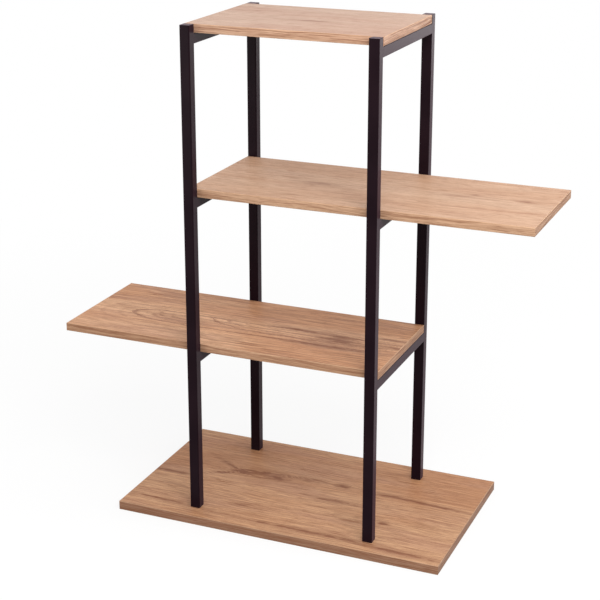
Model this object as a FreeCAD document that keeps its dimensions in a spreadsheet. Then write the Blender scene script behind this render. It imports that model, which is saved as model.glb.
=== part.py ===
import FreeCAD, Part

import math
import os

import Sketcher
from FreeCAD import Vector

# A free-standing display shelf. Two welded side frames of square steel tube stand on a wide
# base board. Each frame has a front post, a rear post and three rails between them, and each
# rail carries one end of a shelf. The lower shelf reaches past the left frame, the upper one
# past the right frame, and the top one closes the frames.
#
# Millimetres. +X is to the right, +Y to the back, +Z up. The origin is on the floor, under the
# middle of the base board, which is also the middle of the frames.

SIZES = [
    ("frame_width", 382, "outer face of the left frame to outer face of the right frame"),
    ("frame_depth", 306, "front face of the front posts to rear face of the rear posts"),
    ("lower_height", 342, "floor to the underside of the lower shelf"),
    ("shelf_pitch", 308, "underside of one shelf to the underside of the next"),
    ("shelf_overhang", 279, "how far a long shelf reaches past the frame at its free end"),
    ("shelf_thick", 16, "thickness of a shelf"),
    ("shelf_gap", 0.3, "clearance between the edge of a shelf and a post"),
    ("base_thick", 18, "thickness of the base board"),
    ("base_side_margin", 142, "how far the base board reaches past a frame's outer face"),
    ("base_front_margin", 34, "how far the base board reaches past the posts, front and rear"),
    ("band_thick", 1, "thickness of a plastic edge band"),
    ("band_edge", 0.5, "chamfer along the two outer edges of a band"),
    ("tube_size", 20, "outer side of the square tube"),
    ("tube_wall", 1.5, "wall of the tube"),
    ("tube_round", 2, "outer corner radius of the tube"),
    ("cope_land", 0.4, "how far a rail's coped end stops short of wrapping a post's corner"),
    ("cap_thick", 2, "plate welded over the upper end of a post"),
    ("cap_edge", 0.5, "ground edge round the top of a cap"),
    ("weld_leg", 2, "leg of the fillet weld under the end of a rail"),
    ("nut_thick", 6, "threaded plate in the foot of a post"),
    ("nut_gap", 0.1, "clearance between the threaded plate and the tube round it"),
    ("base_bolt_size", 8, "shank of a base bolt"),
    ("base_bolt_head", 16, "countersunk head of a base bolt"),
    ("base_bolt_sink", 0.5, "how far the head lies above the base board's underside"),
    ("base_bolt_end", 1.5, "how far the bolt comes out past the threaded plate"),
    ("base_bolt_key", 5, "hexagon socket of a base bolt, across the flats"),
    ("base_bolt_key_depth", 3, "depth of that socket"),
    ("screw_size", 4.5, "shank of a shelf screw"),
    ("screw_bite", 12, "how far a shelf screw goes into the shelf"),
    ("screw_spare", 0.5, "room left in the shelf beyond the screw's tip"),
    ("screw_head", 9, "pan head of a shelf screw"),
    ("screw_head_high", 2.8, "height of the pan head"),
    ("screw_head_edge", 1.6, "chamfer that rounds off the pan head"),
    ("screw_key", 3, "hexagon socket of a shelf screw, across the flats"),
    ("screw_key_depth", 1.8, "depth of that socket"),
    ("hole_gap", 0.25, "radial clearance of a bolt or screw in a plain hole"),
    ("thread_gap", 0.1, "radial clearance between a thread and what it bites into"),
]

DOC = FreeCAD.newDocument("shelving_unit")
SHEET = DOC.addObject("Spreadsheet::Sheet", "Sizes")
for row, (alias, number, meaning) in enumerate(SIZES, start=1):
    SHEET.set("A%d" % row, meaning)
    SHEET.set("B%d" % row, str(number))
    SHEET.setAlias("B%d" % row, alias)
DOC.recompute()

# Rules: the sizes and places that several pieces share, worked out from the sheet.
POST_X = "(Sizes.frame_width - Sizes.tube_size) / 2"
POST_Y = "(Sizes.frame_depth - Sizes.tube_size) / 2"
POST_FACE_Y = "(Sizes.frame_depth / 2 - Sizes.tube_size)"
TUBE_HALF = "Sizes.tube_size / 2"
TUBE_BORE_HALF = "(Sizes.tube_size / 2 - Sizes.tube_wall)"
TOP_HEIGHT = "(Sizes.lower_height + 2 * Sizes.shelf_pitch + Sizes.shelf_thick)"
HALF_WIDTH = "Sizes.frame_width / 2"
LONG_REACH = "(Sizes.frame_width / 2 + Sizes.shelf_overhang)"
SHELF_HALF_DEPTH = "(%s - Sizes.shelf_gap)" % POST_FACE_Y
BASE_REACH = "(Sizes.frame_width / 2 + Sizes.base_side_margin)"
BASE_HALF_DEPTH = "(Sizes.frame_depth / 2 + Sizes.base_front_margin)"

SIDES = {"left": -1, "right": 1}
ENDS = {"front": -1, "rear": 1}
LEVELS = {"lower": 0, "upper": 1, "top": 2}
NEAR = 0.01
PIECES = []


def measure(rule):
    """The present value of a rule, in millimetres."""
    return float(SHEET.evalExpression(rule))


def shelf_height(level):
    """Rule for the underside of a shelf."""
    return "(Sizes.lower_height + %d * Sizes.shelf_pitch)" % level


def new_piece(label, x="0", y="0", z="0"):
    """An empty body whose origin lies at the given place."""
    body = DOC.addObject("PartDesign::Body", label)
    body.Label = label
    for axis, rule in (("x", x), ("y", y), ("z", z)):
        body.setExpression("Placement.Base." + axis, rule)
    PIECES.append(body)
    return body


def origin_part(body, role):
    """One of the body's own origin planes or axes."""
    return next(part for part in body.Origin.OriginFeatures if part.Role == role)


def new_sketch(body, name, plane, lift=None):
    """A sketch on one of the body's origin planes, or lifted off it by a rule."""
    sketch = body.newObject("Sketcher::SketchObject", "%s_%s" % (body.Name, name))
    sketch.AttachmentSupport = [(origin_part(body, plane), "")]
    sketch.MapMode = "FlatFace"
    if lift:
        sketch.setExpression("AttachmentOffset.Base.z", lift)
    return sketch


def hold(sketch, direction, shape, point, rule):
    """Fix a point's signed distance from the sketch's origin; no rule puts it on the axis."""
    if rule is None:
        axis = -2 if direction == "DistanceX" else -1
        sketch.addConstraint(Sketcher.Constraint("PointOnObject", shape, point, axis))
        return
    value = measure(rule)
    if value > 0:
        index = sketch.addConstraint(Sketcher.Constraint(direction, -1, 1, shape, point, value))
        sketch.setExpression("Constraints[%d]" % index, rule)
    else:
        index = sketch.addConstraint(Sketcher.Constraint(direction, shape, point, -1, 1, -value))
        sketch.setExpression("Constraints[%d]" % index, "-(%s)" % rule)


def draw_rectangle(sketch, left, right, low, high, corner=None):
    """A rectangle between four signed places, with round corners if a radius is given."""
    x = [measure(left), measure(right)]
    y = [measure(low), measure(high)]
    radius = measure(corner) if corner else 0.0
    side = sketch.GeometryCount
    starts = [Vector(x[0] + radius, y[0]), Vector(x[1], y[0] + radius),
              Vector(x[1] - radius, y[1]), Vector(x[0], y[1] - radius)]
    finishes = [Vector(x[1] - radius, y[0]), Vector(x[1], y[1] - radius),
                Vector(x[0] + radius, y[1]), Vector(x[0], y[0] + radius)]
    for start, finish in zip(starts, finishes):
        sketch.addGeometry(Part.LineSegment(start, finish))
    for number in range(4):
        kind = "Vertical" if number % 2 else "Horizontal"
        sketch.addConstraint(Sketcher.Constraint(kind, side + number))
    if corner:
        arc = side + 4
        centres = [Vector(x[1] - radius, y[0] + radius), Vector(x[1] - radius, y[1] - radius),
                   Vector(x[0] + radius, y[1] - radius), Vector(x[0] + radius, y[0] + radius)]
        for number, centre in enumerate(centres):
            circle = Part.Circle(centre, Vector(0, 0, 1), radius)
            turn = math.pi / 2 * (number - 1)
            sketch.addGeometry(Part.ArcOfCircle(circle, turn, turn + math.pi / 2))
        for number in range(4):
            after = side + (number + 1) % 4
            sketch.addConstraint(Sketcher.Constraint("Tangent", side + number, 2, arc + number, 1))
            sketch.addConstraint(Sketcher.Constraint("Tangent", arc + number, 2, after, 1))
        for number in range(1, 4):
            sketch.addConstraint(Sketcher.Constraint("Equal", arc, arc + number))
        index = sketch.addConstraint(Sketcher.Constraint("Radius", arc, radius))
        sketch.setExpression("Constraints[%d]" % index, corner)
    else:
        for number in range(4):
            after = side + (number + 1) % 4
            sketch.addConstraint(Sketcher.Constraint("Coincident", side + number, 2, after, 1))
    hold(sketch, "DistanceY", side, 1, low)
    hold(sketch, "DistanceX", side + 1, 1, right)
    hold(sketch, "DistanceY", side + 2, 1, high)
    hold(sketch, "DistanceX", side + 3, 1, left)


def draw_tube_section(sketch):
    """The wall of the square tube, centred on the sketch's origin."""
    draw_rectangle(sketch, "-" + TUBE_HALF, TUBE_HALF, "-" + TUBE_HALF, TUBE_HALF,
                   "Sizes.tube_round")
    draw_rectangle(sketch, "-" + TUBE_BORE_HALF, TUBE_BORE_HALF,
                   "-" + TUBE_BORE_HALF, TUBE_BORE_HALF)


def draw_circle(sketch, x, y, diameter):
    """A circle with its centre at two signed places, either of which may be None for zero."""
    centre = Vector(measure(x) if x else 0, measure(y) if y else 0)
    size = measure(diameter)
    shape = sketch.addGeometry(Part.Circle(centre, Vector(0, 0, 1), size / 2))
    index = sketch.addConstraint(Sketcher.Constraint("Diameter", shape, size))
    sketch.setExpression("Constraints[%d]" % index, diameter)
    hold(sketch, "DistanceX", shape, 3, x)
    hold(sketch, "DistanceY", shape, 3, y)


def draw_profile(sketch, corners):
    """A closed outline through corners given as pairs of rules, with None for zero."""
    points = [Vector(*[measure(rule) if rule else 0 for rule in corner]) for corner in corners]
    count = len(points)
    for number in range(count):
        sketch.addGeometry(Part.LineSegment(points[number], points[(number + 1) % count]))
    for number, (x, y) in enumerate(corners):
        after = (number + 1) % count
        sketch.addConstraint(Sketcher.Constraint("Coincident", number, 2, after, 1))
        hold(sketch, "DistanceX", number, 1, x)
        hold(sketch, "DistanceY", number, 1, y)


def draw_hexagon(sketch, across_flats):
    """A regular hexagon about the sketch's origin, with one corner on the X axis."""
    corner_circle = "(%s) / cos(30)" % across_flats
    reach = measure(corner_circle) / 2
    points = [Vector(reach * math.cos(turn * math.pi / 3), reach * math.sin(turn * math.pi / 3))
              for turn in range(6)]
    for number in range(6):
        sketch.addGeometry(Part.LineSegment(points[number], points[(number + 1) % 6]))
    circle = sketch.addGeometry(Part.Circle(Vector(), Vector(0, 0, 1), reach), True)
    sketch.addConstraint(Sketcher.Constraint("Coincident", circle, 3, -1, 1))
    index = sketch.addConstraint(Sketcher.Constraint("Diameter", circle, 2 * reach))
    sketch.setExpression("Constraints[%d]" % index, corner_circle)
    for number in range(6):
        after = (number + 1) % 6
        sketch.addConstraint(Sketcher.Constraint("Coincident", number, 2, after, 1))
        sketch.addConstraint(Sketcher.Constraint("PointOnObject", number, 1, circle))
        if number:
            sketch.addConstraint(Sketcher.Constraint("Equal", 0, number))
    sketch.addConstraint(Sketcher.Constraint("PointOnObject", 0, 1, -1))


def pad(sketch, length, symmetric=False):
    """Extrude a sketch along its normal, or to both sides of its plane."""
    body = sketch.getParentGeoFeatureGroup()
    feature = body.newObject("PartDesign::Pad", sketch.Name + "_pad")
    feature.Profile = sketch
    feature.SideType = "Symmetric" if symmetric else "One side"
    feature.setExpression("Length", length)
    return feature


def cut_through(sketch):
    """Cut a sketch right through the body, to both sides of its plane."""
    body = sketch.getParentGeoFeatureGroup()
    feature = body.newObject("PartDesign::Pocket", sketch.Name + "_cut")
    feature.Profile = sketch
    feature.Type = "ThroughAll"
    feature.SideType = "Symmetric"
    return feature


def cut_upwards(sketch, depth):
    """Cut a sketch into the body above its plane."""
    body = sketch.getParentGeoFeatureGroup()
    feature = body.newObject("PartDesign::Pocket", sketch.Name + "_cut")
    feature.Profile = sketch
    feature.Reversed = True
    feature.setExpression("Length", depth)
    return feature


def turn(sketch):
    """Revolve a profile on the XZ plane about the body's Z axis."""
    body = sketch.getParentGeoFeatureGroup()
    feature = body.newObject("PartDesign::Revolution", sketch.Name + "_turned")
    feature.Profile = sketch
    feature.ReferenceAxis = (origin_part(body, "Z_Axis"), [""])
    feature.Angle = 360
    return feature


def bevel_edges(feature, size, chosen):
    """Chamfer the edges of a feature that the given test picks."""
    DOC.recompute()
    body = feature.getParentGeoFeatureGroup()
    names = ["Edge%d" % number for number, edge in enumerate(feature.Shape.Edges, start=1)
             if chosen(edge)]
    bevel = body.newObject("PartDesign::Chamfer", feature.Name + "_bevel")
    bevel.Base = (feature, names)
    bevel.setExpression("Size", size)
    body.Tip = bevel


def repeat(body, to_the_right, to_the_back=None):
    """Copy the whole body to the right, and all of that to the back if asked."""
    DOC.recompute()
    pattern = body.newObject("PartDesign::LinearPattern", body.Name + "_pattern")
    pattern.TransformMode = "Whole shape"
    pattern.Direction = (origin_part(body, "X_Axis"), [""])
    pattern.Occurrences = 2
    pattern.setExpression("Length", to_the_right)
    if to_the_back:
        pattern.Direction2 = (origin_part(body, "Y_Axis"), [""])
        pattern.Occurrences2 = 2
        pattern.setExpression("Length2", to_the_back)
    body.Tip = pattern


# ---- Boards: chipboard cores with decor faces, each edged with four plastic bands ----------

def make_board_core(label, z, thick, left, right, half_depth):
    """The chipboard of a board, one band's thickness smaller than the board all round."""
    core = new_piece(label, z=z)
    outline = new_sketch(core, "outline", "XY_Plane")
    draw_rectangle(outline, "-%s + Sizes.band_thick" % left, "%s - Sizes.band_thick" % right,
                   "-%s + Sizes.band_thick" % half_depth, "%s - Sizes.band_thick" % half_depth)
    pad(outline, thick)
    return core


def make_band(label, x, y, z, thick, half_x, half_y, outward):
    """One edge band about its own middle, bevelled along the edges of its outward face."""
    band = new_piece(label, x, y, z)
    outline = new_sketch(band, "outline", "XY_Plane")
    draw_rectangle(outline, "-" + half_x[0], half_x[1], "-" + half_y[0], half_y[1])
    strip = pad(outline, thick)
    face = measure("Sizes.band_thick / 2")
    bevel_edges(strip, "Sizes.band_edge",
                lambda edge: abs(edge.CenterOfMass.dot(outward) - face) < NEAR
                and edge.BoundBox.ZLength < NEAR)


def make_bands(name, z, thick, left, right, half_depth):
    """The four edge bands of a board: the long ones run past the ends of the short ones."""
    across = ("Sizes.band_thick / 2", "Sizes.band_thick / 2")
    short = "(%s - Sizes.band_thick)" % half_depth
    for end_name, end in ENDS.items():
        y = "%d * (%s - Sizes.band_thick / 2)" % (end, half_depth)
        make_band("%s_%s_band" % (name, end_name), "0", y, z, thick,
                  (left, right), across, Vector(0, end, 0))
    for side_name, side in SIDES.items():
        x = "%d * (%s - Sizes.band_thick / 2)" % (side, right if side > 0 else left)
        make_band("%s_%s_band" % (name, side_name), x, "0", z, thick,
                  across, (short, short), Vector(side, 0, 0))


def make_base():
    """The base board, with a countersunk hole from beneath under each post."""
    core = make_board_core("base_board", "0", "Sizes.base_thick",
                           BASE_REACH, BASE_REACH, BASE_HALF_DEPTH)
    centres = new_sketch(core, "bolt_holes", "XY_Plane")
    for x in ("-" + POST_X, POST_X):
        for y in ("-" + POST_Y, POST_Y):
            draw_circle(centres, x, y, "Sizes.base_bolt_size + 2 * Sizes.hole_gap")
    DOC.recompute()
    holes = core.newObject("PartDesign::Hole", "base_bolt_holes")
    holes.Profile = centres
    holes.Reversed = True
    holes.DepthType = "ThroughAll"
    holes.HoleCutType = "Countersink"
    holes.HoleCutCustomValues = True
    holes.HoleCutCountersinkAngle = 90
    holes.setExpression("Diameter", "Sizes.base_bolt_size + 2 * Sizes.hole_gap")
    holes.setExpression("HoleCutDiameter", "Sizes.base_bolt_head + 2 * Sizes.base_bolt_sink"
                                           " + 2 * Sizes.hole_gap")
    make_bands("base", "0", "Sizes.base_thick", BASE_REACH, BASE_REACH, BASE_HALF_DEPTH)


def make_shelf(name, left, right):
    """One shelf, with a blind hole in its underside over the middle of each of its rails."""
    level = LEVELS[name]
    core = make_board_core("%s_shelf_board" % name, shelf_height(level), "Sizes.shelf_thick",
                           left, right, SHELF_HALF_DEPTH)
    centres = new_sketch(core, "screw_holes", "XY_Plane")
    for x in ("-" + POST_X, POST_X):
        draw_circle(centres, x, None, "Sizes.screw_size + 2 * Sizes.thread_gap")
    cut_upwards(centres, "Sizes.screw_bite + Sizes.screw_spare")
    make_bands("%s_shelf" % name, shelf_height(level), "Sizes.shelf_thick",
               left, right, SHELF_HALF_DEPTH)


# ---- Side frames: square tube, coped, welded and capped ------------------------------------

def make_post(label, x, y):
    """An upright of square tube, from the base board to its cap."""
    post = new_piece(label, x, y, "Sizes.base_thick")
    section = new_sketch(post, "section", "XY_Plane")
    draw_tube_section(section)
    pad(section, TOP_HEIGHT + " - Sizes.cap_thick - Sizes.base_thick")


def make_cap(label, x, y):
    """The plate that closes a post's upper end, ground flush with the tube."""
    cap = new_piece(label, x, y, TOP_HEIGHT + " - Sizes.cap_thick")
    outline = new_sketch(cap, "outline", "XY_Plane")
    draw_rectangle(outline, "-" + TUBE_HALF, TUBE_HALF, "-" + TUBE_HALF, TUBE_HALF,
                   "Sizes.tube_round")
    plate = pad(outline, "Sizes.cap_thick")
    top = measure("Sizes.cap_thick")
    bevel_edges(plate, "Sizes.cap_edge",
                lambda edge: all(abs(vertex.Z - top) < NEAR for vertex in edge.Vertexes))


def make_foot_nut(label, x, y):
    """The threaded plate welded inside a post's lower end."""
    nut = new_piece(label, x, y, "Sizes.base_thick")
    outline = new_sketch(nut, "outline", "XY_Plane")
    half = "(%s - Sizes.nut_gap)" % TUBE_BORE_HALF
    draw_rectangle(outline, "-" + half, half, "-" + half, half)
    draw_circle(outline, None, None, "Sizes.base_bolt_size + 2 * Sizes.thread_gap")
    pad(outline, "Sizes.nut_thick")


def make_rail(label, x, level):
    """A rail between two posts, with coped ends and a hole up through it for a shelf screw."""
    rail = new_piece(label, x, "0", "%s - %s" % (shelf_height(level), TUBE_HALF))
    section = new_sketch(rail, "section", "XZ_Plane")
    draw_tube_section(section)
    pad(section, "2 * (%s + Sizes.tube_round - Sizes.cope_land)" % POST_FACE_Y, symmetric=True)
    # Each end is cut to the outline of its post, so that the rail's side faces run on round
    # the post's corners and the joint can be welded and ground flush.
    posts = new_sketch(rail, "posts", "XY_Plane")
    for sign in ("-", ""):
        low = "%s%s - %s" % (sign, POST_Y, TUBE_HALF)
        high = "%s%s + %s" % (sign, POST_Y, TUBE_HALF)
        draw_rectangle(posts, "-" + TUBE_HALF, TUBE_HALF, low, high, "Sizes.tube_round")
    cut_through(posts)
    screw = new_sketch(rail, "screw", "XY_Plane")
    draw_circle(screw, None, None, "Sizes.screw_size + 2 * Sizes.hole_gap")
    cut_through(screw)


def make_welds(label, x):
    """The fillet welds of one frame: a quarter-round bead under both ends of every rail."""
    welds = new_piece(label, x, "0", "%s - Sizes.tube_size" % shelf_height(LEVELS["lower"]))
    bead = new_sketch(welds, "bead", "YZ_Plane")
    root = -measure(POST_FACE_Y)
    leg = measure("Sizes.weld_leg")
    bead.addGeometry(Part.LineSegment(Vector(root, 0), Vector(root, -leg)))
    circle = Part.Circle(Vector(root, 0), Vector(0, 0, 1), leg)
    bead.addGeometry(Part.ArcOfCircle(circle, -math.pi / 2, 0))
    bead.addGeometry(Part.LineSegment(Vector(root + leg, 0), Vector(root, 0)))
    bead.addConstraint(Sketcher.Constraint("Coincident", 0, 2, 1, 1))
    bead.addConstraint(Sketcher.Constraint("Coincident", 1, 2, 2, 1))
    bead.addConstraint(Sketcher.Constraint("Coincident", 2, 2, 0, 1))
    bead.addConstraint(Sketcher.Constraint("Coincident", 1, 3, 0, 1))
    bead.addConstraint(Sketcher.Constraint("Vertical", 0))
    bead.addConstraint(Sketcher.Constraint("Horizontal", 2))
    index = bead.addConstraint(Sketcher.Constraint("Radius", 1, leg))
    bead.setExpression("Constraints[%d]" % index, "Sizes.weld_leg")
    hold(bead, "DistanceX", 0, 1, "-" + POST_FACE_Y)
    hold(bead, "DistanceY", 0, 1, None)
    pad(bead, "Sizes.tube_size - 2 * Sizes.tube_round", symmetric=True)
    DOC.recompute()
    both_ends = welds.newObject("PartDesign::Mirrored", label + "_both_ends")
    both_ends.TransformMode = "Whole shape"
    both_ends.MirrorPlane = (origin_part(welds, "XZ_Plane"), [""])
    welds.Tip = both_ends
    DOC.recompute()
    every_rail = welds.newObject("PartDesign::LinearPattern", label + "_every_rail")
    every_rail.TransformMode = "Whole shape"
    every_rail.Direction = (origin_part(welds, "Z_Axis"), [""])
    every_rail.Occurrences = len(LEVELS)
    every_rail.setExpression("Length", "%d * Sizes.shelf_pitch" % (len(LEVELS) - 1))
    welds.Tip = every_rail


# ---- Fasteners ------------------------------------------------------------------------------

def make_base_bolts():
    """Countersunk socket screws, one under each post."""
    bolts = new_piece("base_bolts", "-" + POST_X, "-" + POST_Y, "Sizes.base_bolt_sink")
    length = "(Sizes.base_thick + Sizes.nut_thick + Sizes.base_bolt_end - Sizes.base_bolt_sink)"
    shank = "Sizes.base_bolt_size / 2"
    head = "Sizes.base_bolt_head / 2"
    profile = new_sketch(bolts, "profile", "XZ_Plane")
    draw_profile(profile, [
        (None, None),
        (head, None),
        (shank, "(Sizes.base_bolt_head - Sizes.base_bolt_size) / 2"),
        (shank, length),
        (None, length),
    ])
    turn(profile)
    socket = new_sketch(bolts, "socket", "XY_Plane")
    draw_hexagon(socket, "Sizes.base_bolt_key")
    cut_upwards(socket, "Sizes.base_bolt_key_depth")
    repeat(bolts, "2 * " + POST_X, "2 * " + POST_Y)


def make_shelf_screws(name):
    """Pan-head screws, one up through the middle of each rail into one shelf."""
    underside = "%s - Sizes.tube_size" % shelf_height(LEVELS[name])
    screws = new_piece("%s_shelf_screws" % name, "-" + POST_X, "0", underside)
    length = "(Sizes.tube_size + Sizes.screw_bite)"
    shank = "Sizes.screw_size / 2"
    head = "Sizes.screw_head / 2"
    profile = new_sketch(screws, "profile", "XZ_Plane")
    draw_profile(profile, [
        (None, "-Sizes.screw_head_high"),
        (head + " - Sizes.screw_head_edge", "-Sizes.screw_head_high"),
        (head, "Sizes.screw_head_edge - Sizes.screw_head_high"),
        (head, None),
        (shank, None),
        (shank, length),
        (None, length),
    ])
    turn(profile)
    socket = new_sketch(screws, "socket", "XY_Plane", lift="-Sizes.screw_head_high")
    draw_hexagon(socket, "Sizes.screw_key")
    cut_upwards(socket, "Sizes.screw_key_depth")
    repeat(screws, "2 * " + POST_X)


# ---- Assembly -------------------------------------------------------------------------------

make_base()
make_shelf("lower", LONG_REACH, HALF_WIDTH)
make_shelf("upper", HALF_WIDTH, LONG_REACH)
make_shelf("top", HALF_WIDTH, HALF_WIDTH)

for side_name, side in SIDES.items():
    frame_x = "%d * %s" % (side, POST_X)
    for end_name, end in ENDS.items():
        post_y = "%d * %s" % (end, POST_Y)
        corner_name = "%s_%s" % (end_name, side_name)
        make_post("%s_post" % corner_name, frame_x, post_y)
        make_cap("%s_post_cap" % corner_name, frame_x, post_y)
        make_foot_nut("%s_foot_nut" % corner_name, frame_x, post_y)
    for level_name, level in LEVELS.items():
        make_rail("%s_%s_rail" % (level_name, side_name), frame_x, level)
    make_welds("%s_frame_welds" % side_name, frame_x)

make_base_bolts()
for level_name in LEVELS:
    make_shelf_screws(level_name)

DOC.recompute()

for thing in DOC.Objects:
    if "Invalid" in thing.State or "Error" in thing.State:
        raise RuntimeError("%s failed: %s" % (thing.Label, thing.State))
for piece in PIECES:
    if piece.Shape.isNull() or not piece.Shape.isValid():
        raise RuntimeError("%s has no sound shape" % piece.Label)

os.makedirs("parts", exist_ok=True)
for piece in PIECES:
    piece.Shape.exportStep("parts/%s.step" % piece.Label)
    print("%-26s %2d solids %12.1f mm3" % (piece.Label, len(piece.Shape.Solids),
                                           piece.Shape.Volume))
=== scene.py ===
import math

import bpy
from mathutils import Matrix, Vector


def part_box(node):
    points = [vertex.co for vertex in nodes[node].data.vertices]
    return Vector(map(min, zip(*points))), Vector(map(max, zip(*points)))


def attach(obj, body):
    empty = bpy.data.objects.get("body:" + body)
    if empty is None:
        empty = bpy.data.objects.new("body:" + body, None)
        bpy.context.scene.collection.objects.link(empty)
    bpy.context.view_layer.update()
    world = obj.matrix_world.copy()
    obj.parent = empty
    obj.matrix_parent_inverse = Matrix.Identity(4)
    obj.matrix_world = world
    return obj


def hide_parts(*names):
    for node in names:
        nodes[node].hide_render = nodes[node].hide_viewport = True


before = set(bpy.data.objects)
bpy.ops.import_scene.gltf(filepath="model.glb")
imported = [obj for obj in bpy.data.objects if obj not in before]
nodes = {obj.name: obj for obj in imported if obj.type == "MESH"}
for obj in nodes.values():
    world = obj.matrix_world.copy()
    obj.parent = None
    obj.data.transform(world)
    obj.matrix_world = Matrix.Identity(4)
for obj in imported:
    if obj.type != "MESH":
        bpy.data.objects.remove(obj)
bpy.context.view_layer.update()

bpy.ops.object.select_all(action="DESELECT")


# ---- Base board --------------------------------------------------------------------------------
# The bottom board that stands flat on the floor: 18 mm chipboard under a printed oak decor foil
# with its grain along the board. The foil is pressed on with an open-pore texture, satin, and
# the board is drilled from beneath for the bolts that hold the posts.

def feed(tree, socket, value):
    """Link an input to another node's output, or set it to a plain value."""
    if isinstance(value, bpy.types.NodeSocket):
        tree.links.new(value, socket)
    else:
        socket.default_value = value


def add_node(tree, kind, inputs=None, **settings):
    """A shader node with its settings and its inputs."""
    made = tree.nodes.new("ShaderNode" + kind)
    for name, value in settings.items():
        setattr(made, name, value)
    for name, value in (inputs or {}).items():
        feed(tree, made.inputs[name], value)
    return made


def calculate(tree, operation, *terms):
    """The result of a Math node on sockets or numbers."""
    made = add_node(tree, "Math", dict(enumerate(terms)), operation=operation)
    return made.outputs["Value"]


def product(tree, first, *others):
    """Values multiplied together, from left to right."""
    for other in others:
        first = calculate(tree, "MULTIPLY", first, other)
    return first


def move(tree, operation, first, second):
    """The result of a Vector Math node on two vectors."""
    made = add_node(tree, "VectorMath", {0: first, 1: second}, operation=operation)
    return made.outputs["Vector"]


def length(tree, vector):
    """How long a vector is."""
    return add_node(tree, "VectorMath", {0: vector}, operation="LENGTH").outputs["Value"]


def split(tree, vector):
    """The X, Y and Z of a vector."""
    return add_node(tree, "SeparateXYZ", {0: vector}).outputs


def joined(tree, **parts):
    """A vector from its X, Y and Z, where one that isn't given is 0."""
    return add_node(tree, "CombineXYZ", parts).outputs["Vector"]


def noise(tree, place, cells, detail=2.0, rough=0.5):
    """Soft noise between about 0.2 and 0.8, with so many cells to a metre in each direction."""
    scaled = move(tree, "MULTIPLY", place, cells)
    made = add_node(tree, "TexNoise", {"Vector": scaled, "Scale": 1.0, "Detail": detail,
                                       "Roughness": rough})
    return made.outputs["Fac"]


def centred(tree, pattern, reach):
    """A pattern of 0 to 1 brought to lie evenly about zero, with that reach in all."""
    return calculate(tree, "MULTIPLY_ADD", pattern, reach, -reach / 2)


def ramp(tree, value, low, high, start=0.0, finish=1.0):
    """A smooth step of the value, from start at low to finish at high."""
    made = add_node(tree, "MapRange", {"Value": value, "From Min": low, "From Max": high,
                                       "To Min": start, "To Max": finish},
                    interpolation_type="SMOOTHSTEP")
    return made.outputs["Result"]


def fall(tree, value, low, high):
    """A smooth step of the value, from 1 at low down to 0 at high."""
    return ramp(tree, value, low, high, start=1.0, finish=0.0)


def blended(tree, factor, first, second):
    """Two colours mixed by a factor. A Mix node keeps its colours in inputs 6 and 7."""
    made = add_node(tree, "Mix", {0: factor, 6: first, 7: second}, data_type="RGBA")
    return made.outputs[2]


def new_group(name, inputs, outputs):
    """An empty node group, with what its input node gives and what its output node takes."""
    group = bpy.data.node_groups.new(name, "ShaderNodeTree")
    for label, kind, default in inputs:
        socket = group.interface.new_socket(label, in_out="INPUT",
                                            socket_type="NodeSocket" + kind)
        socket.default_value = default
    for label, kind in outputs:
        group.interface.new_socket(label, in_out="OUTPUT", socket_type="NodeSocket" + kind)
    given = group.nodes.new("NodeGroupInput").outputs
    return group, given, group.nodes.new("NodeGroupOutput").inputs


def use_group(tree, group, inputs):
    """The outputs of a node group placed in a tree."""
    return add_node(tree, "Group", inputs, node_tree=group).outputs


def srgb(red, green, blue):
    """A colour written as 0 to 255 screen values, as the linear colour that a node holds."""
    steps = [value / 255 for value in (red, green, blue)]
    return (*[((step + 0.055) / 1.055) ** 2.4 for step in steps], 1.0)


def late_wood(tree, rings, start=0.25, full=0.85):
    """The dark lines of growth rings: each deepens slowly and ends sharply at a whole number."""
    part = calculate(tree, "FRACT", rings)
    return product(tree, ramp(tree, part, start, full), fall(tree, part, 0.88, 1.0))


def make_knot_group():
    """A knot or split in the decor: its dark heart, its halo, and how it pushes the grain aside.

    Its distances are counted in its own reach: 1 is the edge of the knot.
    """
    group, given, result = new_group(
        "oak_knot",
        [("Place", "Vector", (0, 0, 0)), ("Middle", "Vector", (0, 0, 0)),
         ("Reach", "Vector", (0.05, 0.015, 1.0)), ("Slant", "Float", 0.0),
         ("Strength", "Float", 1.0)],
        [("Halo", "Float"), ("Heart", "Float"), ("Push", "Float")])
    place = given["Place"]
    away = split(group, move(group, "SUBTRACT", place, given["Middle"]))
    off_line = calculate(group, "SUBTRACT", away["Y"], product(group, away["X"], given["Slant"]))
    straight = joined(group, X=away["X"], Y=off_line)
    distance = length(group, move(group, "DIVIDE", straight, given["Reach"]))
    ragged = centred(group, noise(group, place, cells=(45.0, 140.0, 40.0)), reach=2.4)
    heart = fall(group, calculate(group, "ADD", distance, ragged), 0.35, 0.95)
    halo = fall(group, calculate(group, "MULTIPLY_ADD", ragged, 0.4, distance), 0.0, 2.4)
    near = ramp(group, distance, 0.0, 2.8, start=-0.8, finish=0.0)
    effects = {"Halo": halo, "Heart": heart, "Push": product(group, off_line, near)}
    for label, value in effects.items():
        feed(group, result[label], product(group, value, given["Strength"]))
    return group


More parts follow.
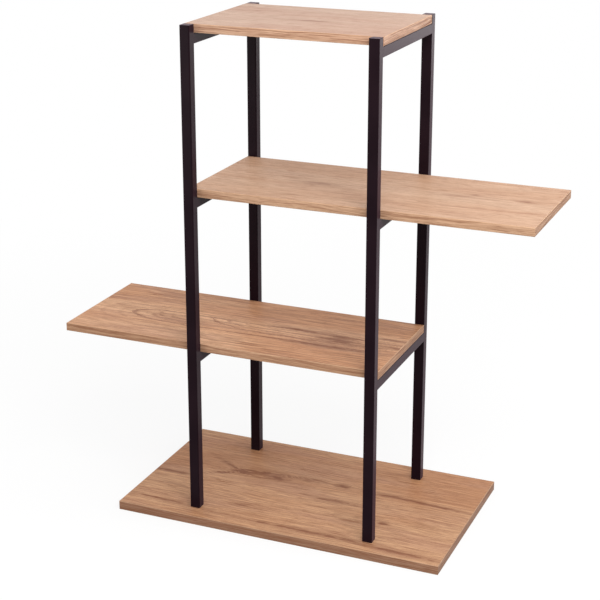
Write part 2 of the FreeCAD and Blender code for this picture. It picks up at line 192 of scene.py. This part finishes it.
def make_figure_group():
    """A tongue-shaped figure, where the saw cut the growth rings flat: nested jagged lines.

    Its distances are counted in its own reach: 1 is the outermost line.
    """
    group, given, result = new_group(
        "oak_figure",
        [("Place", "Vector", (0, 0, 0)), ("Middle", "Vector", (0, 0, 0)),
         ("Left Reach", "Float", 0.1), ("Right Reach", "Float", 0.9),
         ("Half Width", "Float", 0.03), ("Gap", "Float", 0.25), ("Strength", "Float", 0.8),
         ("Upper Side", "Float", 1.0)],
        [("Line", "Float")])
    place = given["Place"]
    away = split(group, move(group, "SUBTRACT", place, given["Middle"]))
    leftward = calculate(group, "MAXIMUM", product(group, away["X"], -1.0), 0.0)
    rightward = calculate(group, "MAXIMUM", away["X"], 0.0)
    along = calculate(group, "ADD", calculate(group, "DIVIDE", leftward, given["Left Reach"]),
                      calculate(group, "DIVIDE", rightward, given["Right Reach"]))
    across = calculate(group, "DIVIDE", away["Y"], given["Half Width"])
    distance = calculate(group, "SQRT", calculate(
        group, "ADD", product(group, along, along), product(group, across, across)))
    # The lines sway, and the saw's cut across the fibres makes them jagged.
    sway = noise(group, place, cells=(9.0, 26.0, 12.0))
    jag = noise(group, place, cells=(170.0, 260.0, 40.0))
    shaken = calculate(group, "ADD", distance, calculate(
        group, "ADD", centred(group, sway, reach=0.36), centred(group, jag, reach=0.20)))
    lines = late_wood(group, calculate(group, "DIVIDE", shaken, given["Gap"]),
                      start=0.58, full=0.88)
    # They are broken in places, grow stronger outwards, and stop at the figure's edge.
    broken = ramp(group, noise(group, place, cells=(14.0, 45.0, 30.0)), 0.36, 0.52, start=0.7)
    outermost = ramp(group, shaken, 0.45, 0.9, start=0.6)
    within = fall(group, shaken, 1.0, 1.1)
    lower_side = fall(group, across, -0.1, 0.2)
    shown = calculate(group, "MAXIMUM", lower_side, given["Upper Side"])
    line = product(group, product(group, lines, broken), product(group, outermost, within),
                   shown, given["Strength"])
    feed(group, result["Line"], line)
    return group


def make_oak_group():
    """The printed oak, from its broad tones to its pores, with the base board's own values."""
    group, given, result = new_group(
        "oak_decor",
        [("Place", "Vector", (0, 0, 0)), ("Figure", "Float", 0.0), ("Halo", "Float", 0.0),
         ("Heart", "Float", 0.0), ("Tone Strength", "Float", 0.45),
         ("Ring Strength", "Float", 0.25), ("Streak Strength", "Float", 0.56),
         ("Crack Strength", "Float", 0.45), ("Ground", "Color", srgb(192, 140, 102)),
         ("Light", "Color", srgb(212, 166, 128)), ("Grey", "Color", srgb(184, 138, 114)),
         ("Line", "Color", srgb(138, 92, 65)), ("Crack", "Color", srgb(118, 66, 44))],
        [("Color", "Color"), ("Roughness", "Float"), ("Height", "Float")])
    place = given["Place"]
    wander = centred(group, noise(group, place, cells=(3.5, 9.0, 20.0)), reach=0.03)
    bent = move(group, "ADD", place, joined(group, Y=wander))
    # Broad tones, growth rings, streaks and fibres all follow the grain.
    tone = noise(group, bent, cells=(2.4, 13.0, 30.0), detail=1.0)
    grey_tone = noise(group, bent, cells=(4.0, 19.0, 50.0), detail=1.0)
    level = noise(group, bent, cells=(1.5, 20.0, 14.0), detail=1.5)
    jag = noise(group, place, cells=(60.0, 420.0, 90.0))
    rings = calculate(group, "ADD", product(group, level, 26.0), product(group, jag, 0.8))
    ringed = ramp(group, noise(group, place, cells=(3.0, 14.0, 20.0)), 0.35, 0.62)
    ring = product(group, late_wood(group, rings), ringed)
    streak = noise(group, bent, cells=(9.0, 480.0, 110.0), detail=4.0, rough=0.6)
    fibre = noise(group, place, cells=(24.0, 900.0, 300.0), detail=4.0, rough=0.6)
    # A hairline crack runs where a stretched noise passes through its middle value.
    crack_level = noise(group, bent, cells=(2.1, 34.0, 40.0))
    off_level = calculate(group, "ABSOLUTE", calculate(group, "SUBTRACT", crack_level, 0.5))
    cracked = ramp(group, noise(group, place, cells=(4.5, 22.0, 40.0)), 0.54, 0.62)
    crack = product(group, fall(group, off_level, 0.004, 0.016), cracked)
    pore = ramp(group, noise(group, place, cells=(40.0, 700.0, 300.0), detail=3.0), 0.56, 0.66)
    pore_mask = product(group, pore, 0.4)
    # The colours are laid over one another, from the broadest to the finest.
    colour = blended(group, ramp(group, tone, 0.36, 0.64), given["Ground"], given["Light"])
    layers = [
        (product(group, ramp(group, grey_tone, 0.48, 0.68), given["Tone Strength"]), "Grey"),
        (product(group, ring, given["Ring Strength"]), "Line"),
        (product(group, ramp(group, streak, 0.47, 0.62), given["Streak Strength"]), "Line"),
        (product(group, ramp(group, fibre, 0.45, 0.66), given["Streak Strength"]), "Line"),
        (product(group, fall(group, streak, 0.36, 0.46), given["Streak Strength"]), "Light"),
        (product(group, given["Halo"], 0.7), "Line"),
        (product(group, given["Heart"], 0.6), "Crack"),
        (given["Figure"], "Crack"),
        (product(group, crack, given["Crack Strength"]), "Crack"),
        (pore_mask, "Crack")]
    for mask, tint in layers:
        colour = blended(group, mask, colour, given[tint])
    # The pores and cracks are pressed in, and are less shiny than the face round them.
    hollow = calculate(group, "MAXIMUM", pore_mask, product(group, crack, 0.8))
    face_roughness = calculate(group, "MULTIPLY_ADD", fibre, 0.1, 0.44)
    feed(group, result["Color"], colour)
    feed(group, result["Roughness"],
         calculate(group, "MULTIPLY_ADD", hollow, 0.2, face_roughness))
    feed(group, result["Height"],
         calculate(group, "SUBTRACT", product(group, fibre, 0.25), hollow))
    return group


knot_group = make_knot_group()
figure_group = make_figure_group()
oak_group = make_oak_group()
PORE_DEPTH = 0.00008
WOOD_GLOSS = 0.15


def new_material(name):
    """A material with only its shader and output, and the place of each point on the piece."""
    material = bpy.data.materials.new(name)
    material.use_nodes = True
    tree = material.node_tree
    shader = tree.nodes["Principled BSDF"]
    place = add_node(tree, "TexCoord").outputs["Object"]
    return material, tree, shader, place


def dress(tree, shader, colour, roughness, height, depth, relief, plain):
    """Feed a shader its colour, its roughness and its bump, and set its plain values.

    The depth is the bump's in metres, and the relief the share of it that shows.
    """
    bump = add_node(tree, "Bump", {"Height": height, "Distance": depth, "Strength": relief})
    varied = {"Base Color": colour, "Roughness": roughness, "Normal": bump.outputs["Normal"]}
    for name, value in {**varied, **plain}.items():
        feed(tree, shader.inputs[name], value)


def make_oak_material(name, shift, figures=(), knots=(), settings=None, axes="XYZ"):
    """Oak decor for one board or band.

    The shift says where it lies on the printed sheet, and the axes which way the grain runs,
    across it and through it. The settings are what differs from the base board's print, and for
    the shelves and bands their tones also carry painted light and shade. A figure is its middle
    and its own values, and a knot is its middle, reach, slant and strength.
    """
    material, tree, shader, place = new_material(name)
    ways = split(tree, place)
    along, across, through = (ways[axis] for axis in axes)
    laid = joined(tree, X=along, Y=across, Z=through)
    marks = {"Figure": 0.0, "Halo": 0.0, "Heart": 0.0}
    push = 0.0
    for middle, values in figures:
        figure = use_group(tree, figure_group, {"Place": laid, "Middle": (*middle, 0.0),
                                                **values})
        marks["Figure"] = calculate(tree, "MAXIMUM", marks["Figure"], figure["Line"])
    for middle, reach, slant, strength in knots:
        knot = use_group(tree, knot_group, {"Place": laid, "Middle": (*middle, 0.0),
                                            "Reach": (*reach, 1.0), "Slant": slant,
                                            "Strength": strength})
        for mark in ("Halo", "Heart"):
            marks[mark] = calculate(tree, "MAXIMUM", marks[mark], knot[mark])
        push = calculate(tree, "ADD", push, knot["Push"])
    pushed = joined(tree, X=shift[0], Y=calculate(tree, "ADD", push, shift[1]))
    decor = use_group(tree, oak_group, {"Place": move(tree, "ADD", laid, pushed), **marks,
                                        **(settings or {})})
    dress(tree, shader, decor["Color"], decor["Roughness"], decor["Height"], depth=PORE_DEPTH,
          relief=0.6, plain={"Specular IOR Level": WOOD_GLOSS})
    return material


def cover(material, *names):
    """Give the whole of each named CAD piece one material."""
    for name in names:
        slots = nodes[name].data.materials
        slots.clear()
        slots.append(material)


base_oak = make_oak_material(
    "oak_decor_base", shift=(0.9, 0.03),
    figures=[((-0.10, -0.125), {"Left Reach": 0.9, "Half Width": 0.045, "Gap": 0.34,
                                "Strength": 0.25})],
    knots=[((-0.187, 0.041), (0.036, 0.006), -0.55, 1.0),
           ((-0.192, 0.012), (0.030, 0.006), 0.45, 0.9),
           ((-0.162, 0.029), (0.030, 0.013), 0.0, 1.0),
           ((-0.120, 0.040), (0.070, 0.006), 0.10, 0.9),
           ((-0.125, 0.030), (0.075, 0.022), 0.0, 0.45),
           ((-0.086, 0.029), (0.024, 0.012), 0.0, 1.0),
           ((-0.020, 0.046), (0.040, 0.009), 0.0, 0.6),
           ((0.055, 0.045), (0.015, 0.008), 0.0, 1.0),
           ((0.225, 0.038), (0.120, 0.005), -0.06, 0.95),
           ((0.062, -0.021), (0.045, 0.005), 0.0, 0.9),
           ((-0.295, -0.025), (0.050, 0.005), 0.0, 0.9),
           ((0.183, -0.071), (0.012, 0.006), 0.0, 1.0),
           ((-0.099, -0.105), (0.030, 0.007), 0.1, 0.6),
           ((0.060, -0.158), (0.150, 0.005), 0.0, 0.9),
           ((0.260, -0.168), (0.095, 0.005), -0.03, 0.9),
           ((-0.240, -0.146), (0.080, 0.005), -0.05, 0.8)])
cover(base_oak, "base_board")


# ---- Base bolts and foot nuts ------------------------------------------------------------------
# Four M8 countersunk socket bolts come up through the base board from beneath, each into a
# threaded plate welded in the foot of a post. All are of bright zinc-plated steel.

SIDES = ("left", "right")
ENDS = ("front", "rear")
LEVELS = ("lower", "upper", "top")


def make_zinc():
    """Zinc plating: pale metal with a cloudy sheen and fine turning marks."""
    material, tree, shader, place = new_material("zinc_plate")
    cloud = noise(tree, place, cells=(300.0, 300.0, 300.0), detail=4.0)
    turning_marks = noise(tree, place, cells=(3000.0, 3000.0, 900.0))
    dress(tree, shader,
          colour=blended(tree, cloud, srgb(178, 180, 182), srgb(214, 212, 204)),
          roughness=calculate(tree, "MULTIPLY_ADD", cloud, 0.25, 0.2),
          height=turning_marks, depth=0.00002, relief=0.4, plain={"Metallic": 1.0})
    return material


zinc = make_zinc()
cover(zinc, "base_bolts", *(f"{end}_{side}_foot_nut" for end in ENDS for side in SIDES))


# ---- Side frames -------------------------------------------------------------------------------
# Two welded frames of 20 mm square steel tube: posts with welded caps, and coped cross rails.
# They are ground flush and powder coated a very dark purple brown, with a fine satin texture.

def make_powder_coat():
    """Dark powder coat: a fine pebbled skin over the steel, with a faint cloudy tint."""
    material, tree, shader, place = new_material("powder_coat_dark")
    cloud = noise(tree, place, cells=(14.0, 14.0, 14.0), detail=3.0)
    pebble = noise(tree, place, cells=(1400.0, 1400.0, 1400.0), detail=3.0)
    dress(tree, shader,
          colour=blended(tree, ramp(tree, cloud, 0.3, 0.7), srgb(24, 12, 18), srgb(30, 17, 23)),
          roughness=calculate(tree, "MULTIPLY_ADD", pebble, 0.14, 0.26),
          height=pebble, depth=0.00003, relief=0.5,
          plain={"Specular IOR Level": 0.04, "Sheen Weight": 0.16, "Sheen Roughness": 0.4,
                 "Sheen Tint": (1.0, 0.55, 0.75, 1.0)})
    return material


powder_coat = make_powder_coat()
cover(powder_coat, *(f"{end}_{side}_{piece}" for end in ENDS for side in SIDES
                     for piece in ("post", "post_cap")))
cover(powder_coat, *(f"{level}_{side}_rail" for level in LEVELS for side in SIDES))


# ---- Weld beads --------------------------------------------------------------------------------
# Under both ends of every rail a short fillet weld is left unground: a row of overlapping
# ripples from one corner of the tube to the other, coated with the frame.

RIPPLE_PITCH = 0.0013
RIPPLE_LEAN = math.radians(25)
RIPPLE_SQUASH = (0.5, 1.0, 1.0)
BEAD_VOXEL = 0.00028
BEAD_SMOOTH = math.radians(50)


def finish_shape(piece, smooth):
    """Leave a piece at the origin with its place in its mesh, smooth up to an angle."""
    bpy.ops.object.transform_apply(location=True, rotation=True, scale=True)
    bpy.ops.object.shade_smooth_by_angle(angle=smooth)
    piece.select_set(False)


def apply_modifier(piece, kind, **settings):
    """Add a modifier to the active piece and apply it at once."""
    modifier = piece.modifiers.new(kind.lower(), kind)
    for name, value in settings.items():
        setattr(modifier, name, value)
    bpy.ops.object.modifier_apply(modifier=modifier.name)


def repeat(piece, count, step):
    """Copies of the active piece in a row, that step apart, as one mesh."""
    apply_modifier(piece, "ARRAY", count=count, use_relative_offset=False,
                   use_constant_offset=True, constant_offset_displace=step)


def make_beads(side):
    """The six beads of one frame, from one ripple: a row, cut to the corner and repeated."""
    low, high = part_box(f"{side}_frame_welds")
    under, inner_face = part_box(f"lower_{side}_rail")[0].z, low.y
    leg = under - low.z
    count = round((high.x - low.x) / RIPPLE_PITCH)
    margin = (high.x - low.x - (count - 1) * RIPPLE_PITCH) / 2
    bpy.ops.mesh.primitive_uv_sphere_add(segments=20, ring_count=12, radius=leg,
                                         location=(low.x + margin, inner_face, under),
                                         rotation=(0.0, RIPPLE_LEAN, 0.0), scale=RIPPLE_SQUASH)
    beads = bpy.context.object
    beads.name = f"{side}_weld_beads"
    bpy.ops.object.transform_apply(location=True, rotation=True, scale=True)
    repeat(beads, count, (RIPPLE_PITCH, 0.0, 0.0))
    apply_modifier(beads, "REMESH", mode="VOXEL", voxel_size=BEAD_VOXEL)
    # What lies inside the post and inside the rail is cut off.
    bpy.ops.object.mode_set(mode="EDIT")
    bpy.ops.mesh.select_all(action="SELECT")
    bpy.ops.mesh.bisect(plane_co=(0.0, inner_face, 0.0), plane_no=(0.0, 1.0, 0.0),
                        use_fill=True, clear_inner=True)
    bpy.ops.mesh.select_all(action="SELECT")
    bpy.ops.mesh.bisect(plane_co=(0.0, 0.0, under), plane_no=(0.0, 0.0, 1.0),
                        use_fill=True, clear_outer=True)
    bpy.ops.object.mode_set(mode="OBJECT")
    apply_modifier(beads, "MIRROR", use_axis=(False, True, False), use_mirror_merge=False)
    repeat(beads, len(LEVELS), (0.0, 0.0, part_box(f"upper_{side}_rail")[0].z - under))
    finish_shape(beads, BEAD_SMOOTH)
    beads.data.materials.append(powder_coat)
    return beads


for side in SIDES:
    beads = make_beads(side)
    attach(beads, "root")
    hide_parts(f"{side}_frame_welds")


# ---- Shelves -----------------------------------------------------------------------------------
# Three 16 mm boards in the same oak decor, cut from different parts of the sheet. Each lies on
# a pair of cross rails between the front and rear posts, and is screwed on from beneath. Their
# tones are set apart from the base board's as painted light: paler and pinker on the upper and
# top shelves for painted sheen, brighter and deeper on the lower shelf against the shade under
# the upper shelf.

lower_oak = make_oak_material(
    "oak_decor_lower_shelf", shift=(0.2, 0.02),
    figures=[((-0.290, -0.020), {"Left Reach": 0.093, "Half Width": 0.032, "Gap": 0.5,
                                 "Strength": 0.68}),
             ((-0.240, -0.002), {"Left Reach": 0.105, "Right Reach": 0.5, "Half Width": 0.044,
                                 "Gap": 0.28, "Strength": 0.45, "Upper Side": 0.0}),
             ((-0.290, -0.026), {"Left Reach": 0.165, "Half Width": 0.060, "Strength": 0.2}),
             ((-0.090, 0.010), {"Left Reach": 0.130, "Right Reach": 0.6, "Half Width": 0.044,
                                "Strength": 0.7, "Upper Side": 0.0})],
    knots=[((0.060, -0.010), (0.036, 0.024), 0.0, 0.8),
           ((-0.010, 0.012), (0.100, 0.006), 0.0, 0.6),
           ((0.050, -0.051), (0.090, 0.006), 0.0, 0.85),
           ((0.165, 0.028), (0.030, 0.004), 0.0, 0.8),
           ((0.180, -0.010), (0.022, 0.005), 0.0, 0.8)],
    # Painted light: the lower shelf's ground and light are brighter and more saturated than the
    # base board's, to match the light under the upper shelf.
    settings={"Ground": srgb(207, 152, 113), "Light": srgb(229, 181, 143),
              "Ring Strength": 0.3, "Streak Strength": 0.5})
upper_oak = make_oak_material(
    "oak_decor_upper_shelf", shift=(2.3, -0.05),
    knots=[((0.025, -0.006), (0.032, 0.010), 0.0, 0.55),
           ((0.317, 0.028), (0.012, 0.007), 0.0, 0.4),
           ((0.287, 0.012), (0.022, 0.005), 0.0, 0.5),
           ((0.414, 0.020), (0.014, 0.006), 0.0, 0.6)],
    # Painted sheen: the upper shelf's ground and light are paler than the base board's.
    settings={"Ground": srgb(204, 163, 133), "Light": srgb(211, 175, 147),
              "Tone Strength": 0.15, "Ring Strength": 0.1, "Streak Strength": 0.4,
              "Crack Strength": 0.25})
top_oak = make_oak_material(
    "oak_decor_top_shelf", shift=(4.1, 0.10),
    knots=[((0.004, -0.020), (0.036, 0.006), 0.0, 0.7)],
    # Painted sheen: the top shelf's ground, light and grey are paler and pinker than the base
    # board's.
    settings={"Ground": srgb(194, 158, 138), "Light": srgb(205, 175, 155),
              "Grey": srgb(192, 154, 136), "Tone Strength": 0.25, "Ring Strength": 0.15,
              "Streak Strength": 0.36, "Crack Strength": 0.25})
cover(lower_oak, "lower_shelf_board")
cover(upper_oak, "upper_shelf_board")
cover(top_oak, "top_shelf_board")


# ---- Edge bands --------------------------------------------------------------------------------
# Strips of 1 mm plastic with a printed oak grain along their length. They are glued round each
# board's edges, trimmed level with its faces, and rounded along their outer arrises with a
# scraper. The pale line along each round arris is a painted highlight.

BAND_ROUND = 0.0009
BAND_ROUND_STEPS = 4
BAND_EASE = 0.00012
BAND_SMOOTH = math.radians(30)
# A painted highlight along the round arrises: this pale colour, mixed in at this share on their
# slanted faces.
ARRIS_HIGHLIGHT_COLOUR = srgb(214, 176, 142)
ARRIS_HIGHLIGHT_SHARE = 0.55
SLANT_LEAST = 0.1
# The axis that a strip's outer face looks along, and which way.
OUTWARD = {"front": (1, -1), "rear": (1, 1), "left": (0, -1), "right": (0, 1)}
# Each board's band: its place on the sheet, its ground and light, and its streaks. The ground and
# light grow darker from the top shelf down to the base: painted shade for light that falls off
# towards the floor.
BAND_PRINTS_AND_SHADE = {
    "base": ((6.0, 0.5), srgb(158, 118, 94), srgb(170, 130, 104), 0.8),
    "lower_shelf": ((8.0, 0.7), srgb(188, 145, 114), srgb(201, 159, 127), 0.65),
    "upper_shelf": ((8.0, 0.7), srgb(196, 153, 122), srgb(209, 169, 137), 0.65),
    "top_shelf": ((8.0, 0.7), srgb(203, 161, 133), srgb(216, 176, 147), 0.65)}


def bevel_edges(piece, wanted, **bevel):
    """Bevel those edges of a piece whose two ends pass the test."""
    bpy.ops.object.mode_set(mode="EDIT")
    bpy.ops.mesh.select_mode(type="EDGE")
    bpy.ops.mesh.select_all(action="DESELECT")
    bpy.ops.object.mode_set(mode="OBJECT")
    places = [vertex.co for vertex in piece.data.vertices]
    for edge in piece.data.edges:
        first, second = (places[index] for index in edge.vertices)
        edge.select = wanted(first, second)
    bpy.ops.object.mode_set(mode="EDIT")
    bpy.ops.mesh.bevel(**bevel)
    bpy.ops.object.mode_set(mode="OBJECT")


def make_band(board, where, material):
    """One strip from the size of its place, with a round outer edge and an eased inner one."""
    low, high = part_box(f"{board}_{where}_band")
    bpy.ops.mesh.primitive_cube_add(size=1.0, location=(low + high) / 2, scale=high - low)
    band = bpy.context.object
    band.name = f"{board}_{where}_strip"
    bpy.ops.object.transform_apply(location=True, rotation=True, scale=True)
    axis, outward = OUTWARD[where]
    outside, inside = (high[axis], low[axis]) if outward > 0 else (low[axis], high[axis])
    near = (high[axis] - low[axis]) / 4

    def is_level(first, second):
        return abs(first.z - second.z) < near

    def is_on(face, first, second):
        return abs(first[axis] - face) < near and abs(second[axis] - face) < near

    # A front or rear strip runs past the end strips, so its upright corners are round as well.
    bevel_edges(band, lambda *ends: is_on(outside, *ends) and (is_level(*ends) or where in ENDS),
                offset=BAND_ROUND, segments=BAND_ROUND_STEPS, profile=0.5)
    bevel_edges(band, lambda *ends: is_on(inside, *ends) and is_level(*ends),
                offset=BAND_EASE, segments=1)
    finish_shape(band, BAND_SMOOTH)
    # The slanted faces of the round arrises are marked for the painted highlight.
    arris_highlight = band.data.attributes.new("arris_highlight", "FLOAT", "FACE")
    for polygon in band.data.polygons:
        slanted = min(abs(polygon.normal.z), abs(polygon.normal[axis])) > SLANT_LEAST
        arris_highlight.data[polygon.index].value = float(slanted)
    band.data.materials.append(material)
    return band


def paint_arris_highlight(material):
    """Paint a highlight on the round arris: a paler colour mixed in on its slanted faces."""
    tree = material.node_tree
    base_colour = tree.nodes["Principled BSDF"].inputs["Base Color"]
    printed = base_colour.links[0].from_socket
    arris_highlight = add_node(tree, "Attribute", attribute_name="arris_highlight").outputs["Fac"]
    painted_highlight = product(tree, arris_highlight, ARRIS_HIGHLIGHT_SHARE)
    feed(tree, base_colour, blended(tree, painted_highlight, printed, ARRIS_HIGHLIGHT_COLOUR))


def make_band_oaks(board):
    """The two materials of a board's band, in its painted shade: one for the long strips and one
    for the short ones.
    """
    shift, ground, light, streak = BAND_PRINTS_AND_SHADE[board]
    settings = {"Ground": ground, "Light": light, "Tone Strength": 0.15, "Ring Strength": 0.1,
                "Streak Strength": streak}
    pair = [make_oak_material(f"oak_band_{board}_{way}", shift, settings=settings, axes=axes)
            for way, axes in (("long", "XZY"), ("short", "YZX"))]
    # Each material gets a painted highlight on the round arrises.
    for material in pair:
        paint_arris_highlight(material)
    return pair


for board in BAND_PRINTS_AND_SHADE:
    long_oak, short_oak = make_band_oaks(board)
    for where in OUTWARD:
        band = make_band(board, where, long_oak if where in ENDS else short_oak)
        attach(band, "root")
        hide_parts(f"{board}_{where}_band")


# ---- Shelf screws ------------------------------------------------------------------------------
# Pan-head socket screws of zinc-plated steel, one up through the middle of each rail into the
# shelf that lies on it.

cover(zinc, *(f"{level}_shelf_screws" for level in LEVELS))


# ---- Floor, light and camera -------------------------------------------------------------------
# A pale seamless floor under a white surround, clear from beneath so that the underside can be
# seen. The light is soft: a key lamp high at the front right, a wide one overhead, small ones at
# the left, right and rear, and the surround as fill.

FLOOR_REACH = 30.0
FLOOR_GAP = 0.0002
FLOOR_TONE = 0.3
FLOOR_TONE_SEEN = 0.95
FLOOR_LIFT_NEAR = 0.82
SHADOW_REACH = (0.45, 2.2)
WORLD_FILL = 0.66
WHITE = (1.0, 1.0, 1.0, 1.0)
CAMERA_PLACE = (1.052, -2.536, 1.407)
CAMERA_DIP = math.radians(17.34)
CAMERA_TURN = math.radians(22.92)
CAMERA_LENS = 90.06
CAMERA_SENSOR = 36.0
CAMERA_SHIFT = -0.1


def seen_directly(tree):
    """1 where a camera, mirror or glass ray meets the surface, otherwise 0."""
    path = add_node(tree, "LightPath").outputs
    shiny = calculate(tree, "MAXIMUM", path["Is Glossy Ray"], path["Is Transmission Ray"])
    return calculate(tree, "MAXIMUM", path["Is Camera Ray"], shiny)


def grey(tone):
    """An even grey."""
    return (tone, tone, tone, 1.0)


def make_floor_paint():
    """Matt grey paint, which a camera, mirror or glass ray finds pale and mostly glowing.

    Away from the object it glows wholly, so the object's shadow shows only round it. From
    beneath the floor is clear.
    """
    paint = bpy.data.materials.new("floor_paint")
    paint.use_nodes = True
    tree = paint.node_tree
    tree.nodes.clear()
    seen = seen_directly(tree)
    matt = add_node(tree, "BsdfDiffuse", {
        "Color": blended(tree, seen, grey(FLOOR_TONE), grey(FLOOR_TONE_SEEN))})
    glow = add_node(tree, "Emission", {"Color": WHITE, "Strength": 1.0})
    away = length(tree, add_node(tree, "TexCoord").outputs["Object"])
    lift = ramp(tree, away, *SHADOW_REACH, start=FLOOR_LIFT_NEAR)
    mixed = add_node(tree, "MixShader", {0: product(tree, seen, lift), 1: matt.outputs[0],
                                         2: glow.outputs[0]})
    beneath = add_node(tree, "NewGeometry").outputs["Backfacing"]
    clear = add_node(tree, "BsdfTransparent")
    sided = add_node(tree, "MixShader", {0: beneath, 1: mixed.outputs[0], 2: clear.outputs[0]})
    add_node(tree, "OutputMaterial", {"Surface": sided.outputs[0]})
    return paint


bpy.ops.mesh.primitive_plane_add(size=FLOOR_REACH, location=(0, 0, -FLOOR_GAP))
floor = bpy.context.object
floor.name = "floor"
floor.data.materials.append(make_floor_paint())

world = bpy.data.worlds.new("surround")
bpy.context.scene.world = world
world.use_nodes = True
sky = world.node_tree.nodes["Background"]
sky.inputs["Color"].default_value = WHITE
feed(world.node_tree, sky.inputs["Strength"],
     calculate(world.node_tree, "MULTIPLY_ADD", seen_directly(world.node_tree),
               1.0 - WORLD_FILL, WORLD_FILL))


def add_lamp(name, place, aim, size, power):
    """A square soft box at a place, turned to face a point."""
    bpy.ops.object.light_add(type="AREA", location=place)
    lamp = bpy.context.object
    lamp.name = name
    lamp.data.size = size
    lamp.data.energy = power
    lamp.visible_camera = False
    reach = [end - start for start, end in zip(place, aim)]
    lamp.rotation_euler = (math.atan2(math.hypot(reach[0], reach[1]), -reach[2]), 0.0,
                           math.atan2(reach[1], reach[0]) - math.pi / 2)


add_lamp("key_softbox", place=(0.95, -1.3, 2.0), aim=(0.0, 0.0, 0.7), size=1.35, power=34.0)
add_lamp("overhead_softbox", place=(-0.3, -0.2, 3.2), aim=(0.0, 0.0, 0.0), size=2.0, power=8.0)
add_lamp("left_softbox", place=(-1.3, -2.05, 0.55), aim=(0.0, 0.0, 0.6), size=0.7, power=7.0)
add_lamp("right_softbox", place=(1.8, 0.4, 1.5), aim=(0.0, 0.0, 0.8), size=1.0, power=8.4)
add_lamp("rear_softbox", place=(1.0, 2.3, 0.9), aim=(0.2, 0.1, 0.8), size=0.9, power=7.0)

bpy.ops.object.camera_add(location=CAMERA_PLACE,
                          rotation=(math.pi / 2 - CAMERA_DIP, 0.0, CAMERA_TURN))
camera = bpy.context.object
camera.data.sensor_width = CAMERA_SENSOR
camera.data.lens = CAMERA_LENS
camera.data.shift_y = CAMERA_SHIFT
bpy.context.scene.camera = camera

bpy.context.scene.view_settings.view_transform = "Standard"
